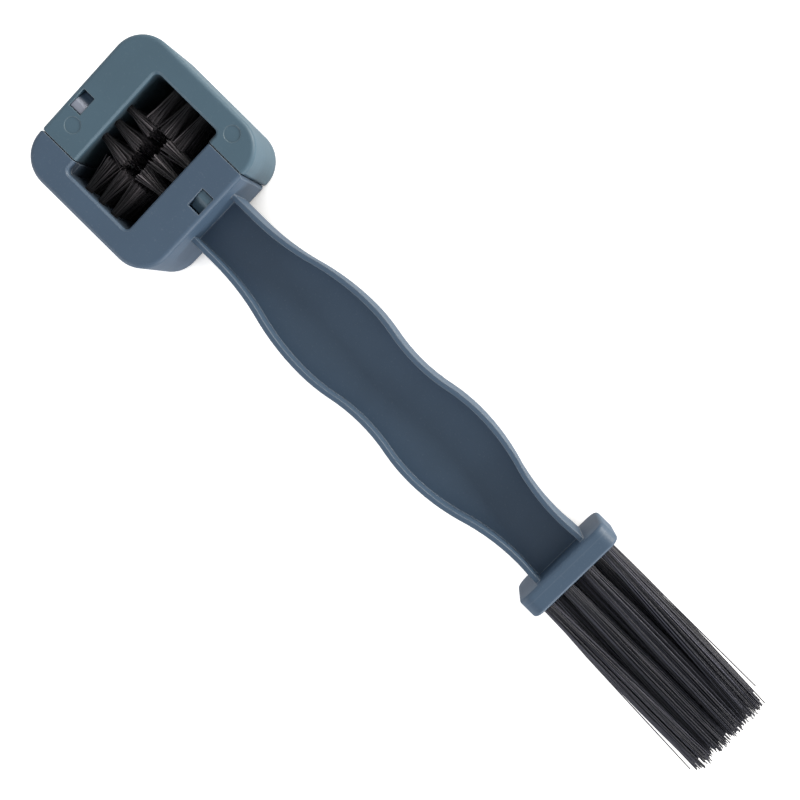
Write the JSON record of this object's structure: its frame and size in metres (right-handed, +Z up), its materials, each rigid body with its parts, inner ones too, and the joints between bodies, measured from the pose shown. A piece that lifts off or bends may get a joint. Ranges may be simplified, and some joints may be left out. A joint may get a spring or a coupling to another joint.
{
  "type": "bike chain cleaner",
  "caption": "Hand brush for a bicycle chain: a square head of inward tufts that pulls apart to take the chain, a waisted handle, and a long brush for sprockets on the other end.",
  "frame": {"origin": "under the middle of the whole length and width, at the level of the head's flat back", "axes": "+X from the head along the handle to the long end brush, +Y the way the removable half of the head comes off, +Z up from the flat back to the front with the latch windows"},
  "size_m": [0.2656, 0.0536, 0.031],
  "materials": {
    "handle_plastic": "moulded polypropylene, slate blue, satin",
    "clip_plastic": "moulded polypropylene, slate blue with a little more green, satin",
    "bristle": "black nylon filament with a soft sheen",
    "anchor_steel": "flat steel wire"
  },
  "bodies": {
    "handle_body": {"handle_frame": "handle_plastic", "near_wall_tufts_1": "bristle", "near_wall_tufts_2": "bristle", "near_wall_tufts_3": "bristle", "near_wall_tufts_4": "bristle", "near_wall_tufts_5": "bristle", "base_wall_tufts_1": "bristle", "base_wall_tufts_2": "bristle", "base_wall_tufts_3": "bristle", "base_wall_tufts_4": "bristle", "base_wall_tufts_5": "bristle", "end_tufts_1": "bristle", "end_tufts_2": "bristle", "end_tufts_3": "bristle", "end_tufts_4": "bristle", "near_wall_anchors": "anchor_steel", "base_wall_anchors": "anchor_steel", "end_anchors": "anchor_steel"},
    "clip_body": {"clip_half": "clip_plastic", "far_wall_tufts_1": "bristle", "far_wall_tufts_2": "bristle", "far_wall_tufts_3": "bristle", "far_wall_tufts_4": "bristle", "far_wall_tufts_5": "bristle", "clip_wall_tufts_1": "bristle", "clip_wall_tufts_2": "bristle", "clip_wall_tufts_3": "bristle", "clip_wall_tufts_4": "bristle", "clip_wall_tufts_5": "bristle", "far_wall_anchors": "anchor_steel", "clip_wall_anchors": "anchor_steel"},
    "handle_latch_body": {"handle_latch": "handle_plastic"},
    "clip_latch_body": {"clip_latch": "clip_plastic"}
  },
  "joints": [
    {"name": "clip_slide", "type": "slide", "parent": "handle_body", "child": "clip_body", "axis": [0, 1, 0], "range_m": [0, 0.04], "deforming": ["handle_latch", "clip_latch"]},
    {"name": "handle_latch_press", "type": "hinge", "parent": "handle_body", "child": "handle_latch_body", "pos_m": [-0.12915, -0.0179, 0.0283], "axis": [-1, 0, 0], "range_deg": [0, 6], "stiffness_Nm_per_rad": 0.5},
    {"name": "clip_latch_press", "type": "hinge", "parent": "clip_body", "child": "clip_latch_body", "pos_m": [-0.08505, 0.0179, 0.0283], "axis": [1, 0, 0], "range_deg": [0, 6], "stiffness_Nm_per_rad": 0.5}
  ]
}
